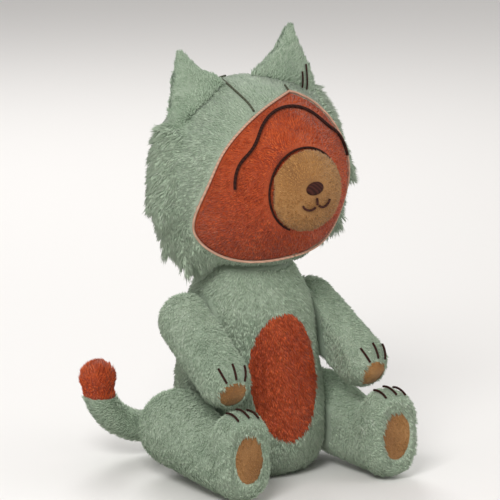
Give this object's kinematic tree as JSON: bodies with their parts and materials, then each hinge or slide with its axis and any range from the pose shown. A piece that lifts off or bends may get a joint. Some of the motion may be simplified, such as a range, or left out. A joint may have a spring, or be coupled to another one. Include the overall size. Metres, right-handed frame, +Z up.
{
  "type": "plush cat",
  "caption": "Seated soft toy cat with pointed ears, cheek tufts, a round head that turns, and limbs and a tail that swing on internal disc joints.",
  "frame": {"origin": "centre of the flat seat, on the floor", "axes": "+Z up through the neck, -Y the way the cat faces, +X the cat's left"},
  "size_m": [0.1844, 0.171, 0.308],
  "materials": {
    "mint_pile": "matte",
    "orange_pile": "matte",
    "tan_pile": "matte",
    "seat_cloth": "matte",
    "filling": "matte",
    "bag_cloth": "matte",
    "pellets": "satin",
    "joint_plastic": "satin",
    "brown_thread": "satin",
    "nose_thread": "satin",
    "pale_piping": "matte",
    "mint_thread": "satin",
    "label_tape": "satin"
  },
  "bodies": {
    "body": {"back_closing_stitches": "mint_thread", "base_panel": "seat_cloth", "belly_panel": "orange_pile", "body_cover": "mint_pile", "body_stuffing": "filling", "hip_washers": "joint_plastic", "neck_washer": "joint_plastic", "pellet_bag": "bag_cloth", "pellet_fill": "pellets", "sewn_label": "label_tape", "shoulder_washers": "joint_plastic", "tail_washer": "joint_plastic"},
    "head": {"brow_stitch": "brown_thread", "cheek_ruff_left": "mint_pile", "cheek_ruff_right": "mint_pile", "face_edge_piping": "pale_piping", "face_panel": "orange_pile", "head_cover": "mint_pile", "head_seam_stitches": "mint_thread", "head_stuffing": "filling", "mouth_stitches": "nose_thread", "muzzle_cover": "tan_pile", "muzzle_edge_stitch": "brown_thread", "muzzle_stuffing": "filling", "neck_disc": "joint_plastic", "neck_lock_ring": "joint_plastic", "nose_patch": "nose_thread"},
    "ear_left": {"ear_left_cover": "mint_pile", "ear_left_wadding": "filling"},
    "ear_right": {"ear_right_cover": "mint_pile", "ear_right_wadding": "filling"},
    "arm_left": {"arm_left_cover": "mint_pile", "arm_left_paw_pad": "tan_pile", "arm_left_stuffing": "filling", "arm_left_toe_stitches": "brown_thread", "shoulder_left_disc": "joint_plastic", "shoulder_left_lock_ring": "joint_plastic"},
    "arm_right": {"arm_right_cover": "mint_pile", "arm_right_paw_pad": "tan_pile", "arm_right_stuffing": "filling", "arm_right_toe_stitches": "brown_thread", "shoulder_right_disc": "joint_plastic", "shoulder_right_lock_ring": "joint_plastic"},
    "leg_left": {"hip_left_disc": "joint_plastic", "hip_left_lock_ring": "joint_plastic", "leg_left_cover": "mint_pile", "leg_left_sole_pad": "tan_pile", "leg_left_stuffing": "filling", "leg_left_toe_stitches": "brown_thread"},
    "leg_right": {"hip_right_disc": "joint_plastic", "hip_right_lock_ring": "joint_plastic", "leg_right_cover": "mint_pile", "leg_right_sole_pad": "tan_pile", "leg_right_stuffing": "filling", "leg_right_toe_stitches": "brown_thread"},
    "tail": {"tail_cover": "mint_pile", "tail_disc": "joint_plastic", "tail_lock_ring": "joint_plastic", "tail_stuffing": "filling", "tail_tip_cover": "orange_pile"}
  },
  "joints": [
    {"name": "neck_turn", "type": "hinge", "parent": "body", "child": "head", "pos_m": [0, 0, 0.1478], "axis": [0, 0, 1], "range_deg": [-80, 80]},
    {"name": "arm_left_swing", "type": "hinge", "parent": "body", "child": "arm_left", "pos_m": [0.0402, 0, 0.108], "axis": [-1, 0, 0], "range_deg": [0, 35]},
    {"name": "arm_right_swing", "type": "hinge", "parent": "body", "child": "arm_right", "pos_m": [-0.0402, 0, 0.108], "axis": [-1, 0, 0], "range_deg": [0, 35]},
    {"name": "leg_left_swing", "type": "hinge", "parent": "body", "child": "leg_left", "pos_m": [0.0402, 0, 0.034], "axis": [1, 0, 0], "range_deg": [0, 85]},
    {"name": "leg_right_swing", "type": "hinge", "parent": "body", "child": "leg_right", "pos_m": [-0.0402, 0, 0.034], "axis": [1, 0, 0], "range_deg": [0, 85]},
    {"name": "tail_swing", "type": "hinge", "parent": "body", "child": "tail", "pos_m": [0, 0.0482, 0.034], "axis": [0, 1, 0], "range_deg": [0, 120]},
    {"name": "ear_left_fold", "type": "hinge", "parent": "head", "child": "ear_left", "pos_m": [0.02842, 0.00047, 0.27006], "axis": [0.9063, -0.0295, -0.4216], "range_deg": [-25, 25]},
    {"name": "ear_right_fold", "type": "hinge", "parent": "head", "child": "ear_right", "pos_m": [-0.04304, -0.00014, 0.26131], "axis": [0.7771, 0.0439, 0.6278], "range_deg": [-25, 25]}
  ]
}
